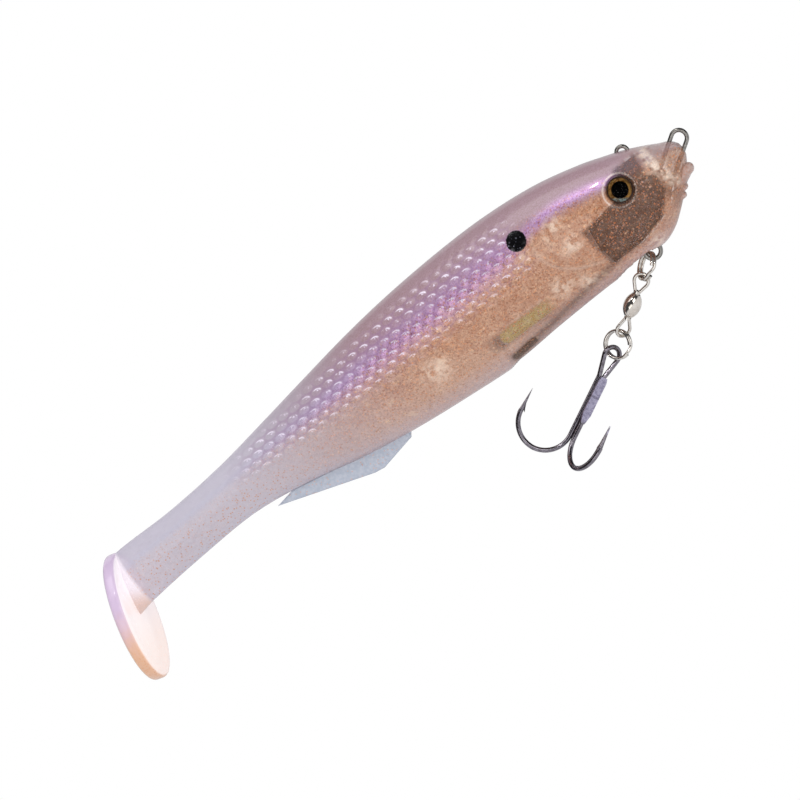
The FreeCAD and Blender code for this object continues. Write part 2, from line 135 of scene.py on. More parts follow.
def on_skin(x, turn):
    """Point of the smooth fish, turn running from its left side over the back."""
    top, bottom, half = outline_at(x)
    level = bottom + WIDEST_AT * (top - bottom)
    over = math.sin(turn) > 0
    power = BACK_POWER if over else BELLY_POWER
    side = math.copysign(abs(math.cos(turn)) ** (2 / power), math.cos(turn))
    rise = abs(math.sin(turn)) ** (2 / power) * ((top - level) if over else (bottom - level))
    return Vector((x, half * side, level + rise))


def scale_lift(along, up):
    """Height of the overlapping scales, from 0 in the seams to 1 on a scale's crown."""
    best = 0.0
    row = math.floor(up / SCALE_ROW)
    for j in (row - 1, row, row + 1, row + 2):
        shift = 0.5 * SCALE_LONG * (j % 2)
        column = round((along - shift) / SCALE_LONG)
        for i in (column - 1, column, column + 1):
            across = (along - shift - i * SCALE_LONG) / SCALE_HALF_LONG
            rise = (up - j * SCALE_ROW) / SCALE_HALF_HIGH
            best = max(best, 1 - across * across - rise * rise)
    return best


def gill_edge(x, z):
    """1 on the gill cover's oval edge, less inside it and more outside it."""
    return math.hypot((x - GILL_MIDDLE[0]) / GILL_REACH[0], (z - GILL_MIDDLE[1]) / GILL_REACH[1])


def segment_gap(x, z, start, end):
    """Distance from a straight line between two places seen from the side."""
    dx, dz = end[0] - start[0], end[1] - start[1]
    t = min(max(((x - start[0]) * dx + (z - start[1]) * dz) / (dx * dx + dz * dz), 0.0), 1.0)
    return math.hypot(x - start[0] - t * dx, z - start[1] - t * dz)


def inside_weight(x, z):
    """How far inside the outline of the head's ballast a place seen from the side lies, in mm."""
    edges = (  # place, outward direction
        (-25.2, -8.0, -0.98, -0.05),
        (-22.0, -12.2, 0.0, -1.0),
        (-13.0, -11.0, 0.25, -0.97),
        (-9.0, -8.2, 0.72, -0.69),
        (-7.0, -4.0, 1.0, -0.1),
        (-9.5, -1.6, 0.3, 0.95),
        (-20.0, -2.6, -0.12, 0.99),
    )
    return min(-((x - ex) * nx + (z - ez) * nz) for ex, ez, nx, nz in edges)


bm = bmesh.new()
bmesh.ops.create_grid(bm, x_segments=RINGS, y_segments=RING_POINTS, size=0.5)
first, last = OUTLINE[0][0], OUTLINE[-1][0]
for v in bm.verts:
    x = first + (last - first) * (0.5 - v.co.x)
    v.co = on_skin(x, 2 * math.pi * (v.co.y + 0.5))
bmesh.ops.remove_doubles(bm, verts=bm.verts, dist=1e-4)
bmesh.ops.holes_fill(bm, edges=[e for e in bm.edges if e.is_boundary], sides=0)
bmesh.ops.recalc_face_normals(bm, faces=bm.faces)
bm.normal_update()
eye_out = Vector((math.sin(EYE_TURN), math.cos(EYE_TURN), 0))
lifts = []
for v in bm.verts:
    x, y, z = v.co
    top, bottom, half = outline_at(x)
    height = (z - bottom) / (top - bottom)
    lift = 0.0
    girth = (z - SCALE_BASE) * SCALE_STRETCH
    scaled = blend_at(x, -33, -40) * blend_at(x, -117, -108)
    scaled = scaled * blend_at(height, 0.38, 0.56) * blend_at(height, 0.97, 0.88)
    scaled = scaled * blend_at(gill_edge(x, z), 1.0, 1.12)
    if scaled > 0.01:
        lift += SCALE_RISE * scaled * scale_lift(x, girth) ** 0.8
    cover = blend_at(gill_edge(x, z), 1.03, 0.97) * blend_at(x, -16, -24) * blend_at(height, 0.9, 0.75)
    lift += 0.22 * cover * blend_at(height, 0.1, 0.3)
    for start, end, depth, wide in CREASES:
        lift -= depth * math.exp(-((segment_gap(x, z, start, end) / wide) ** 2))
    nostril = math.hypot(x - NOSTRIL[0], z - NOSTRIL[1])
    lift -= 0.3 * math.exp(-((nostril / 0.5) ** 2))
    lifts.append(lift)
for v, lift in zip(bm.verts, lifts):
    v.co += v.normal * lift
for v in bm.verts:
    x, y, z = v.co
    side = 1 if y > 0 else -1
    here = Vector((x, abs(y), z)) - EYE_AT
    depth = here.dot(eye_out)
    flat = here - eye_out * depth
    if abs(y) > 3.0 and flat.length < EYE_RIM + 1.2:
        if flat.length < EYE_RIM:
            if flat.length > 0.01:
                flat = flat.normalized() * min(flat.length * 1.12, EYE_RIM - 0.02)
            placed = EYE_AT + flat - eye_out * 0.1
        else:
            rim = 0.3 * math.exp(-(((flat.length - EYE_RIM - 0.25) / 0.45) ** 2))
            placed = Vector((x, abs(y), z)) + eye_out * rim
        v.co = Vector((placed.x, placed.y * side, placed.z))
for v in bm.verts:
    x, y, z = v.co
    if not (GROOVE_REAR - 1 < x < GROOVE_FRONT + 1):
        continue
    half = GROOVE_HALF + GROOVE_FLARE * blend_at(x, -27.0, -24.0)
    half *= math.sqrt(blend_at(x, GROOVE_REAR - 0.5, GROOVE_REAR + 3))
    half *= blend_at(x, GROOVE_FRONT + 0.5, GROOVE_FRONT - 4.0)
    roof = -12.75 - 1.6 * blend_at(x, -27, GROOVE_REAR)
    if half > 0.3 and abs(y) < half and z < roof:
        v.co.z = roof - 0.6 * (abs(y) / half) ** 6
        v.co.y = y * (1 + 0.1 * (1 - abs(y) / half))

bm.normal_update()
# Painted highlights: pale glints of light reflected inside the plastic, painted onto the skin.
GLINTS = (  # pale flashes inside the plastic: place along the fish, height, size
    (-29.3, 1.3, 1.5),
    (-28.6, -4.1, 1.7),
    (-35.8, -9.6, 1.8),
    (-31.0, -11.6, 1.3),
    (-15.4, -13.8, 1.2),
    (-67.0, -8.0, 2.4),
)
MASKS = "back stripe copper tail window shade cream scaled gill web head belly"
masks = {name: [] for name in MASKS.split()}
for v in bm.verts:
    x, y, z = v.co
    top, bottom, half = outline_at(x)
    height = min(max((z - bottom) / (top - bottom), 0.0), 1.0)
    masks["head"].append(blend_at(x, -17, -8))
    # The lower belly is paler: partly its paint, partly painted light on the underside, which the lamps
    # leave in shade.
    masks["belly"].append(blend_at(height, 0.45, 0.1) * blend_at(x, -34, -54))
    masks["back"].append(blend_at(height, 0.66, 0.8) * (1 - 0.5 * blend_at(x, -15, -6)))
    crest = 0.70 + 0.1 * blend_at(x, -42, -24) - 0.02 * blend_at(x, -40, -60)
    wide = 0.045 + 0.05 * blend_at(x, -34, -44)
    along_stripe = blend_at(x, -11.5, -16) * blend_at(x, -124, -68)
    masks["stripe"].append(math.exp(-(((height - crest) / wide) ** 2)) * along_stripe)
    edge = max(0.12 * blend_at(x, -44, -34), 0.06 * blend_at(x, -86, -70))
    reach = 1 - 0.75 * blend_at(x, -62, -120)
    filled = blend_at(height, 0.75 + edge, 0.58 + 1.5 * edge) * reach
    masks["copper"].append(filled * (0.6 + 0.4 * blend_at(height, 0.0, 0.2)))
    masks["tail"].append(blend_at(x, -72, -122))
    over = blend_at(inside_weight(x, z), -0.5, 0.4)
    neck = blend_at(abs(x + 10.9), 3.2, 2.2) * blend_at(z, 3.6, 2.4) * blend_at(z, -4.0, -3.0)
    capsule = blend_at(abs(z + 11.1), 2.2, 0.9) * blend_at(x, -38.8, -42.2) * blend_at(x, -57.0, -53.0)
    nose = blend_at(x, -9.0, -7.0)
    masks["window"].append(max(over, neck * 0.85, capsule * 0.85, nose * 0.5))
    # The shade mask is painted shadow: a dark band on the flank where the shade in the belly groove shows
    # through the plastic, darkest at the groove's rear slot.
    band = segment_gap(x, z, (-23.5, -12.0), (-53.4, -15.5))
    reach = 0.75 + 0.35 * blend_at(x, -36, -50)
    slot_shadow = segment_gap(x, z, (-48.0, -14.9), (-53.0, -15.4)) / 0.75
    groove_shadow = 0.75 * math.exp(-((band / reach) ** 2)) * blend_at(x, -20, -25)
    masks["shade"].append(groove_shadow + 0.7 * math.exp(-(slot_shadow**4)))
    # This mask paints pale highlights: a streak down the front of the snout and the glints listed above.
    front = segment_gap(x, z, (-7.0, 2.0), (-5.0, -6.4))
    masks["cream"].append(math.exp(-((front / 1.05) ** 2)))
    for spot_x, spot_z, size in GLINTS:
        gap = math.hypot((x - spot_x) / 1.3, z - spot_z) / size
        masks["cream"][-1] += 0.85 * math.exp(-(gap * gap))
    span = blend_at(x, -35, -39) * blend_at(x, -119, -106)
    masks["scaled"].append(span * blend_at(height, 0.42, 0.6) * blend_at(height, 0.95, 0.84))
    # A pale line along the gill cover's edge and a fainter one inside it: painted highlights on the raised
    # edge.
    line = math.exp(-(((gill_edge(x, z) - 1.0) / 0.028) ** 2))
    line += 0.6 * math.exp(-(((gill_edge(x, z) - 0.8) / 0.03) ** 2)) * blend_at(height, 0.3, 0.5)
    line *= blend_at(x, -23, -28)
    masks["gill"].append(line * blend_at(height, 0.8, 0.7) * blend_at(height, 0.08, 0.2))
    masks["web"].append(blend_at(x, -145.0, -145.7))


def moulded(name, bm, smooth=True):
    """Puts finished modelling, in millimetres, into the scene as a piece of this name, in metres."""
    bmesh.ops.scale(bm, vec=(MM, MM, MM), verts=bm.verts)
    mesh = bpy.data.meshes.new(name)
    bm.to_mesh(mesh)
    bm.free()
    for polygon in mesh.polygons:
        polygon.use_smooth = smooth
    piece = bpy.data.objects.new(name, mesh)
    bpy.context.scene.collection.objects.link(piece)
    return piece


fish_skin = moulded("fish_skin", bm)
for name, values in masks.items():
    fish_skin.data.attributes.new(name, "FLOAT", "POINT").data.foreach_set("value", values)


class Socket:
    """A shader value that can be reckoned with."""

    def __init__(self, finish, link):
        self.finish = finish
        self.link = link

    def __add__(self, other):
        return self.finish.reckon("ADD", self, other)

    def __radd__(self, other):
        return self.finish.reckon("ADD", other, self)

    def __sub__(self, other):
        return self.finish.reckon("SUBTRACT", self, other)

    def __rsub__(self, other):
        return self.finish.reckon("SUBTRACT", other, self)

    def __mul__(self, other):
        return self.finish.reckon("MULTIPLY", self, other)

    def __rmul__(self, other):
        return self.finish.reckon("MULTIPLY", other, self)

    def __pow__(self, other):
        return self.finish.reckon("POWER", self, other)

    def smooth(self, low, high):
        """0 below low and 1 above high, or the other way round."""
        sockets = {"Value": self, "From Min": min(low, high), "From Max": max(low, high)}
        step = self.finish.node("ShaderNodeMapRange", {"interpolation_type": "SMOOTHSTEP"}, sockets)
        return 1 - step if low > high else step


class Finish:
    """One material and the nodes that feed its shader."""

    def __init__(self, name, **sockets):
        self.material = bpy.data.materials.new(name)
        self.material.use_nodes = True
        self.tree = self.material.node_tree
        self.shader = self.tree.nodes["Principled BSDF"]
        for socket, value in sockets.items():
            self.shader.inputs[socket.replace("_", " ")].default_value = value

    def feed(self, socket, value):
        if isinstance(value, Socket):
            self.tree.links.new(value.link, socket)
        elif value is not None:
            socket.default_value = value

    def node(self, kind, settings=None, sockets=None, out=0):
        made = self.tree.nodes.new(kind)
        for name, value in (settings or {}).items():
            if name == "stops":
                while len(made.color_ramp.elements) < len(value):
                    made.color_ramp.elements.new(1.0)
                for element, (place, colour) in zip(made.color_ramp.elements, value):
                    element.position = place
                    element.color = colour
            else:
                setattr(made, name, value)
        for name, value in (sockets or {}).items():
            self.feed(made.inputs[name], value)
        return Socket(self, made.outputs[out])

    def reckon(self, operation, *values):
        return self.node("ShaderNodeMath", {"operation": operation}, dict(enumerate(values)))

    def place(self):
        """Place on the piece, in millimetres."""
        spot = self.node("ShaderNodeTexCoord", out="Object")
        return self.node("ShaderNodeMapping", None, {"Vector": spot, "Scale": (1 / MM, 1 / MM, 1 / MM)})

    def noise(self, where, scale, detail=2.0, rough=0.5):
        sockets = {"Vector": where, "Scale": scale, "Detail": detail, "Roughness": rough}
        return self.node("ShaderNodeTexNoise", None, sockets)

    def mask(self, name):
        return self.node("ShaderNodeAttribute", {"attribute_name": name}, out="Fac")

    def mix(self, share, low, high, blend="MIX"):
        settings = {"data_type": "RGBA", "blend_type": blend}
        return self.node("ShaderNodeMix", settings, {0: share, 6: low, 7: high}, out=2)

    def bump(self, height, strength, distance):
        sockets = {"Height": height, "Strength": strength, "Distance": distance}
        return self.node("ShaderNodeBump", None, sockets)

    def give(self, socket, value):
        self.feed(self.shader.inputs[socket], value)

    def mixed_surface(self, share, low, high):
        """Shows a mix of two shaders in place of the plain one."""
        joined = self.node("ShaderNodeMixShader", None, {0: share, 1: low, 2: high})
        self.tree.links.new(joined.link, self.tree.nodes["Material Output"].inputs["Surface"])


def tint(red, green, blue):
    """A colour as painted, from 0 to 255, for the shader."""
    parts = [c / 255 for c in (red, green, blue)]
    return tuple(((c + 0.055) / 1.055) ** 2.4 if c > 0.04 else c / 12.92 for c in parts) + (1.0,)


def flakes(finish, where, size, share, seed):
    """(mask, shade) of glitter: flakes of this size in mm, in this share of the places for them."""
    moved = finish.node("ShaderNodeMapping", None, {"Vector": where, "Location": (seed, seed * 2, seed * 3)})
    sockets = {"Vector": moved, "Scale": 1 / size, "Randomness": 1.0}
    near = finish.node("ShaderNodeTexVoronoi", {"feature": "F1"}, sockets)
    cell = finish.node("ShaderNodeTexVoronoi", {"feature": "F1"}, sockets, out="Color")
    parts = finish.node("ShaderNodeSeparateColor", None, {"Color": cell})
    shade = finish.node("ShaderNodeSeparateColor", None, {"Color": cell}, out="Green")
    filled = parts.smooth(1 - share, 1 - share + 0.02)
    return near.smooth(0.48, 0.36) * filled, shade


def soft_plastic(name, glow=0.0):
    """Glossy plastisol; glow stands for light that comes through its thin places."""
    gloss = {"Roughness": 0.28, "IOR": 1.45, "Coat_Weight": 0.6, "Coat_Roughness": 0.08}
    return Finish(name, Emission_Strength=glow, **gloss)


skin = soft_plastic("soft_skin", 0.3)
at = skin.place()
grain = skin.noise(at, 0.9, 4.0, 0.6)
cloud = skin.noise(at, 0.16, 3.0, 0.55)
fine = skin.noise(at, 3.2, 2.0, 0.6)
along = skin.node("ShaderNodeSeparateXYZ", None, {"Vector": at})
upward = skin.node("ShaderNodeSeparateXYZ", None, {"Vector": at}, out="Z")
back, stripe, copper = skin.mask("back"), skin.mask("stripe"), skin.mask("copper")
tail, window, shade = skin.mask("tail"), skin.mask("window"), skin.mask("shade")
seeds = {"Vector": at, "Scale": 2.9, "Randomness": 1.0}
cells = skin.node("ShaderNodeTexVoronoi", {"feature": "F1"}, seeds, out="Color")
dust = skin.node("ShaderNodeSeparateColor", None, {"Color": cells})
dust_stops = [
    (0.0, tint(128, 78, 50)),
    (0.22, tint(172, 114, 80)),
    (0.5, tint(196, 142, 110)),
    (0.78, tint(204, 152, 122)),
    (0.93, tint(230, 182, 146)),
    (1.0, tint(232, 146, 84)),
]
dusty = skin.node("ShaderNodeValToRGB", {"stops": dust_stops}, {"Fac": dust})
clump = skin.noise(at, 0.45, 5.0, 0.7)
peach = skin.mix(cloud.smooth(0.36, 0.66), tint(202, 148, 116), tint(180, 118, 82))
peach = skin.mix(0.62, peach, dusty)
peach = skin.mix(clump.smooth(0.5, 0.66) * 0.55, peach, tint(168, 102, 64))
peach = skin.mix(clump.smooth(0.46, 0.32) * 0.4, peach, tint(226, 186, 158))
peach = skin.mix(grain.smooth(0.45, 0.68) * 0.4, peach, tint(216, 176, 150))
# Lighter towards the bottom of the belly: paler paint and painted light on the underside.
peach = skin.mix(skin.mask("belly") * 0.4, peach, tint(232, 196, 174))
peach = skin.mix(tail * 0.7, peach, tint(216, 184, 168))
lilac = skin.mix(grain.smooth(0.3, 0.7), tint(206, 200, 218), tint(196, 190, 208))
lilac = skin.mix(tail, lilac, tint(200, 196, 216))
lilac = skin.mix(skin.mask("head"), lilac, tint(198, 162, 149))
ground = skin.mix(copper, lilac, peach)
mauve = skin.mix(fine.smooth(0.3, 0.7), tint(166, 134, 138), tint(182, 150, 160))
mauve = skin.mix(tail, mauve, tint(204, 196, 212))
ground = skin.mix(back, ground, mauve)
pearl = skin.mix(fine.smooth(0.35, 0.65), tint(190, 134, 204), tint(222, 180, 234))
ground = skin.mix(stripe * (0.45 + 0.5 * grain), ground, pearl)
row_place = (upward - SCALE_BASE) * (SCALE_STRETCH / SCALE_ROW) + 0.5
row = skin.reckon("FLOOR", row_place)
odd = skin.reckon("ABSOLUTE", skin.reckon("MODULO", row, 2.0))
column = (along - odd * (SCALE_LONG / 2)) * (1 / SCALE_LONG) + 0.5
across = (skin.reckon("FRACT", column) - 0.5) * SCALE_LONG
over = (row_place - row - 0.5) * SCALE_ROW
jitter = skin.noise(at, 0.7, 1.0, 0.5)
scaled = skin.mask("scaled")
# Painted highlights on the scales: a pale crescent on each scale's upper front edge and a small pale dot,
# with painted shade in the seams between them.
reach = ((across * 0.6) ** 2 + (over * 1.05) ** 2) ** 0.5
glint_arc = skin.reckon("ABSOLUTE", reach - 0.56).smooth(0.2, 0.05)
glint_arc = glint_arc * (over + across * 0.4).smooth(0.1, 0.45) * scaled * jitter.smooth(0.36, 0.56)
glint_dot = ((across - 0.35) ** 2 + (over - 0.15) ** 2) ** 0.5
glint_dot = glint_dot.smooth(0.34, 0.12) * scaled * fine.smooth(0.42, 0.55)
painted_scale_glint = skin.reckon("MAXIMUM", glint_arc, glint_dot)
painted_seam_shade = reach.smooth(0.6, 0.95) * scaled
# Painted shade in the scale seams, then the painted glints on the scales.
ground = skin.mix(painted_seam_shade * 0.4, ground, tint(158, 118, 158))
ground = skin.mix(painted_scale_glint * 0.9, ground, tint(246, 234, 250))
# Painted shadow of the belly groove, in dark brown.
ground = skin.mix(shade * 0.85, ground, tint(92, 64, 46))
small, small_shade = flakes(skin, at, 0.42, 0.4, 3.0)
large, large_shade = flakes(skin, at, 0.6, 0.14, 11.0)
rust = skin.mix(small_shade, tint(140, 76, 40), tint(226, 142, 86))
spark = skin.mix(large_shade, tint(244, 200, 160), tint(150, 80, 42))
glitter = small * (copper * (0.3 + 0.6 * cloud) + window * 0.08)
ground = skin.mix(glitter, ground, rust)
bright = large * copper * 0.6
ground = skin.mix(bright, ground, spark)
tiny, tiny_shade = flakes(skin, at, 0.3, 0.6, 17.0)
dust_hue = skin.mix(tiny_shade.smooth(0.3, 0.7), tint(120, 66, 36), tint(236, 196, 160))
ground = skin.mix(tiny * copper * 0.3, ground, dust_hue)
inner_hue = skin.mix(tiny_shade.smooth(0.35, 0.65), tint(196, 108, 56), tint(130, 118, 122))
ground = skin.mix(tiny * window * 0.8, ground, inner_hue)
stray = flakes(skin, at, 0.42, 0.24, 7.0)[0]
stray = stray * tail * upward.smooth(-1.0, -6.0)
ground = skin.mix(stray * 0.9, ground, tint(206, 136, 92))
# Pale patches where the copper glitter catches the light: painted highlights.
painted_flash = skin.noise(at, 0.3, 2.0, 0.6).smooth(0.64, 0.74) * copper * (1 - tail)
ground = skin.mix(painted_flash * 0.4, ground, tint(242, 208, 176))
# Painted highlights in a cream white, broken up by noise.
cream = skin.mask("cream") * jitter.smooth(0.32, 0.6) * (0.5 + 0.7 * fine)
ground = skin.mix(skin.reckon("MINIMUM", cream * 0.85, 0.9), ground, tint(255, 232, 210))
# Painted highlight along the gill cover's edges.
ground = skin.mix(skin.mask("gill") * 0.35, ground, tint(236, 206, 186))
# A pale painted highlight on the raised clear rim round the eye socket.
eye_gap = ((along - EYE_AT.x) ** 2 + (upward - EYE_AT.z) ** 2) ** 0.5
eye_rim_highlight = eye_gap.smooth(3.1, 3.25) * eye_gap.smooth(3.65, 3.45)
ground = skin.mix(eye_rim_highlight * (0.35 + 0.5 * fine), ground, tint(240, 222, 210))
web = skin.mask("web")
ground = skin.mix(web * 0.9, ground, tint(244, 236, 242))
web_tip = (upward * -1 - along * 0.5).smooth(79.5, 84.5) * web
ground = skin.mix(web_tip * (0.35 + 0.5 * fine), ground, tint(206, 160, 128))
# The thin web glows with its own hue: painted light coming through it.
skin.give("Emission Color", skin.mix(web * 0.5, (0, 0, 0, 1), ground))
spot_gap = ((along - SPOT_AT[0]) ** 2 + (upward - SPOT_AT[1]) ** 2) ** 0.5
spot = (spot_gap + (fine - 0.5) * 0.35).smooth(2.25, 2.0)
speck, speck_shade = flakes(skin, at, 0.42, 0.25, 5.0)
ink = skin.mix(speck * speck_shade * 0.6, tint(6, 5, 8), tint(150, 150, 165))
ground = skin.mix(spot, ground, ink)
skin.give("Base Color", ground)
see = 0.93 - window * 0.7 - tail * 0.3 + web * 0.25
see = see + glitter * 0.6 + bright * 0.5 + tiny * window * 0.3
see = see + spot + stripe * 0.1 + painted_scale_glint * 0.2 + cream * 0.3
skin.give("Alpha", skin.reckon("MINIMUM", see, 1.0))
skin.give("Metallic", stripe * 0.3 + bright * 0.4)
skin.give("Roughness", 0.2 + fine * 0.16 + back * 0.06 - spot * 0.12)
skin.give("Normal", skin.bump(grain * 0.6 + small * 0.4, 0.35, 0.00012))
fish_skin.data.materials.append(skin.material)
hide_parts("soft_body")
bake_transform(fish_skin)

# ---- The tail paddle ----------------------------------------------------------------------------
# The same moulding's round paddle, set across the fish and leaning back, on the end of the thin wrist.
# It is thick at the rim, and the wrist runs a little way down its front as a gusset.
PADDLE_TOP = Vector((-145.3, 0, 0.9))
PADDLE_HIGH = 26.9
PADDLE_WIDE = 24.5
PADDLE_THICK = 2.6
PADDLE_LEAN = math.radians(15)
PADDLE_EDGE = 0.75
PADDLE_DISH = ((1.2, 0.0), (1.6, 0.18), (2.2, 0.1), (2.0, 0.0))  # steps inwards from the rim, how deep
bm = bmesh.new()
bmesh.ops.create_circle(bm, cap_ends=True, radius=1.0, segments=72)
for v in bm.verts:
    v.co = Vector((v.co.x * PADDLE_WIDE / 2, v.co.y * PADDLE_HIGH / 2, 0))
rim = bmesh.ops.extrude_face_region(bm, geom=bm.faces[:])
raised = [g for g in rim["geom"] if isinstance(g, bmesh.types.BMVert)]
bmesh.ops.translate(bm, vec=(0, 0, PADDLE_THICK), verts=raised)
bmesh.ops.recalc_face_normals(bm, faces=bm.faces)
sharp = [e for e in bm.edges if abs(e.verts[0].co.z - e.verts[1].co.z) < 1e-6]
bmesh.ops.bevel(bm, geom=sharp, offset=PADDLE_EDGE, segments=4, profile=0.5, affect="EDGES", material=-1)
discs = [f for f in bm.faces if len(f.verts) > 40]
for step, sink in PADDLE_DISH:
    bmesh.ops.inset_region(bm, faces=discs, thickness=step, depth=-sink)
upended = Matrix(((0, 0, -1), (1, 0, 0), (0, 1, 0)))
lean = Matrix.Rotation(PADDLE_LEAN, 3, "Y")
middle = PADDLE_TOP + lean @ Vector((0, 0, -PADDLE_HIGH / 2))
bmesh.ops.transform(bm, matrix=(lean @ upended).to_4x4(), verts=bm.verts)
bmesh.ops.translate(bm, vec=middle, verts=bm.verts)
bmesh.ops.recalc_face_normals(bm, faces=bm.faces)
upright = lean @ Vector((0, 0, 1))
rims = []
for v in bm.verts:
    out_across = v.co.y / (PADDLE_WIDE / 2)
    out_up = (v.co - middle).dot(upright) / (PADDLE_HIGH / 2)
    rims.append(blend_at(math.hypot(out_across, out_up), 0.955, 0.99))
tail_paddle = moulded("tail_paddle", bm)
tail_paddle.data.attributes.new("rim", "FLOAT", "POINT").data.foreach_set("value", rims)
disc = soft_plastic("paddle_plastic", 0.32)
at = disc.place()
down = disc.node("ShaderNodeSeparateXYZ", None, {"Vector": at}, out="Z")
grain = disc.noise(at, 1.1, 4.0, 0.6)
edge = disc.mask("rim")
outer_low = (down + (grain - 0.5) * 5).smooth(-7.0, -19.0)
outer = disc.mix(outer_low, tint(214, 190, 220), tint(240, 184, 142))
# The face's near-white hue stands partly for its pale pink plastic and partly for painted light coming
# through the thin face.
face_low = (down + (grain - 0.5) * 4).smooth(-4.0, -22.0)
face = disc.mix(face_low, tint(252, 245, 246), tint(253, 238, 230))
hue = disc.mix(edge, face, outer)
small = flakes(disc, at, 0.36, 0.35, 3.0)[0]
low = down.smooth(-12.0, -23.0)
hue = disc.mix(small * low * (0.2 + edge * 0.5), hue, tint(226, 150, 96))
disc.give("Base Color", hue)
disc.give("Alpha", 0.88 + edge * 0.06 + small * low * 0.06)
# The face glows with its hue: painted light coming through the thin plastic, which the thick rim barely
# gets.
disc.give("Emission Color", disc.mix(edge, hue, (0.12, 0.1, 0.1, 1)))
disc.give("Roughness", 0.22 + grain * 0.08)
disc.give("Normal", disc.bump(grain, 0.05, 0.0001))
tail_paddle.data.materials.append(disc.material)
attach(tail_paddle, "tail")
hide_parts("soft_tail")

# ---- The anal fin -------------------------------------------------------------------------------
# A thin, pale blade of the same pour under the rear of the belly, free at its pointed rear tip.
# Its two sides are flat and its edges are rounded.
FIN_THICK = 1.1
FIN_EDGE = 0.3
FIN = (  # corners of its outline
    (-80.6, -14.6),
    (-81.6, -15.9),
    (-89.8, -17.6),
    (-92.0, -17.3),
    (-112.4, -11.0),
    (-108.0, -10.2),
    (-96.0, -12.2),
)
bm = bmesh.new()
rim = [bm.verts.new((x, -FIN_THICK / 2, z)) for x, z in FIN]
blade = bm.faces.new(rim)
thick = bmesh.ops.extrude_face_region(bm, geom=[blade])
raised = [g for g in thick["geom"] if isinstance(g, bmesh.types.BMVert)]
bmesh.ops.translate(bm, vec=(0, FIN_THICK, 0), verts=raised)
bmesh.ops.recalc_face_normals(bm, faces=bm.faces)
edges = [e for e in bm.edges if abs(e.verts[0].co.y - e.verts[1].co.y) < 1e-6]
bmesh.ops.bevel(bm, geom=edges, offset=FIN_EDGE, segments=3, profile=0.5, affect="EDGES", material=-1)
bmesh.ops.triangulate(bm, faces=[f for f in bm.faces if len(f.verts) > 4])
anal_fin = moulded("anal_fin", bm, smooth=False)
fin = soft_plastic("fin_plastic")
at = fin.place()
grain = fin.noise(at, 1.4, 4.0, 0.6)
hue = fin.mix(grain.smooth(0.35, 0.65), tint(184, 192, 208), tint(202, 206, 218))
small = flakes(fin, at, 0.36, 0.12, 3.0)[0]
fin.give("Base Color", fin.mix(small * 0.7, hue, tint(206, 150, 120)))
fin.give("Alpha", 0.78 + small * 0.2)
fin.give("Roughness", 0.25 + grain * 0.2)
fin.give("Normal", fin.bump(grain, 0.3, 0.0001))
anal_fin.data.materials.append(fin.material)
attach(anal_fin, "body")

# ---- The lips -----------------------------------------------------------------------------------
# Small rounded lobes of clear plastic in front of the mouth, part of the same pour: the finger-like upper
# lip and two bumps below it.
LIPS = (  # start, end, radius
    ((-5.6, 0, -7.6), (-2.4, 0, -5.9), 1.25),
    ((-7.6, 0, -8.5), (-5.2, 0, -8.3), 0.8),
    ((-8.2, 0, -9.7), (-6.4, 0, -9.6), 0.7),
)
bm = bmesh.new()
for start, end, radius in LIPS:
    tip = bmesh.ops.create_uvsphere(bm, u_segments=24, v_segments=16, radius=radius)["verts"]
    bmesh.ops.rotate(bm, cent=(0, 0, 0), matrix=Matrix.Rotation(math.pi / 2, 3, "Y"), verts=tip)
    rear = [v for v in tip if v.co.x < -1e-4]
    bmesh.ops.translate(bm, vec=Vector(start) - Vector(end), verts=rear)
    bmesh.ops.scale(bm, vec=(1, 1.9, 1), verts=tip)
    bmesh.ops.translate(bm, vec=end, verts=tip)
lips = moulded("lips", bm)
lip = soft_plastic("lip_plastic")
at = lip.place()
grain = lip.noise(at, 1.4, 4.0, 0.6)
small = flakes(lip, at, 0.36, 0.4, 3.0)[0]
hue = lip.mix(grain.smooth(0.35, 0.65), tint(220, 184, 170), tint(200, 156, 138))
lip.give("Base Color", lip.mix(small * 0.7, hue, tint(190, 116, 76)))
lip.give("Alpha", 0.7 + small * 0.25)
lip.give("Roughness", 0.2 + grain * 0.15)
lip.give("Normal", lip.bump(grain, 0.3, 0.0001))
lips.data.materials.append(lip.material)
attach(lips, "body")


def dress(names, finish):
    """Gives these carried-over solids their finish."""
    for name in names:
        slots = nodes[name].data.materials
        slots.clear()
        slots.append(finish.material)


cast = Finish("cast_ballast", Metallic=0.2)
at = cast.place()
mottle = cast.noise(at, 0.8, 5.0, 0.65)
pits = cast.noise(at, 2.6, 3.0, 0.6)
cast_hue = cast.mix(mottle.smooth(0.35, 0.7), tint(38, 34, 36), tint(82, 66, 58))
chips, chip_shade = flakes(cast, at, 0.34, 0.5, 9.0)
chip_hue = cast.mix(chip_shade, tint(150, 92, 56), tint(70, 72, 84))
cast.give("Base Color", cast.mix(chips * 0.55, cast_hue, chip_hue))
cast.give("Roughness", 0.45 + pits * 0.3)
cast.give("Normal", cast.bump(mottle + pits * 0.5, 0.5, 0.0002))
dress(["head_weight"], cast)

# ---- The wires ----------------------------------------------------------------------------------
# Stainless spring wire, bent on a jig and held in the weight: the nose tie, the tie on top of the head
# and the staple for the hook.
wire = Finish("harness_wire", Metallic=1.0)
at = wire.place()
drawn = wire.noise(at, 2.2, 4.0, 0.6)
wire.give("Base Color", wire.mix(drawn.smooth(0.3, 0.7), tint(128, 124, 118), tint(176, 172, 166)))
wire.give("Roughness", 0.2 + drawn * 0.16)
dress(["nose_line_tie", "top_line_tie", "hook_hanger"], wire)

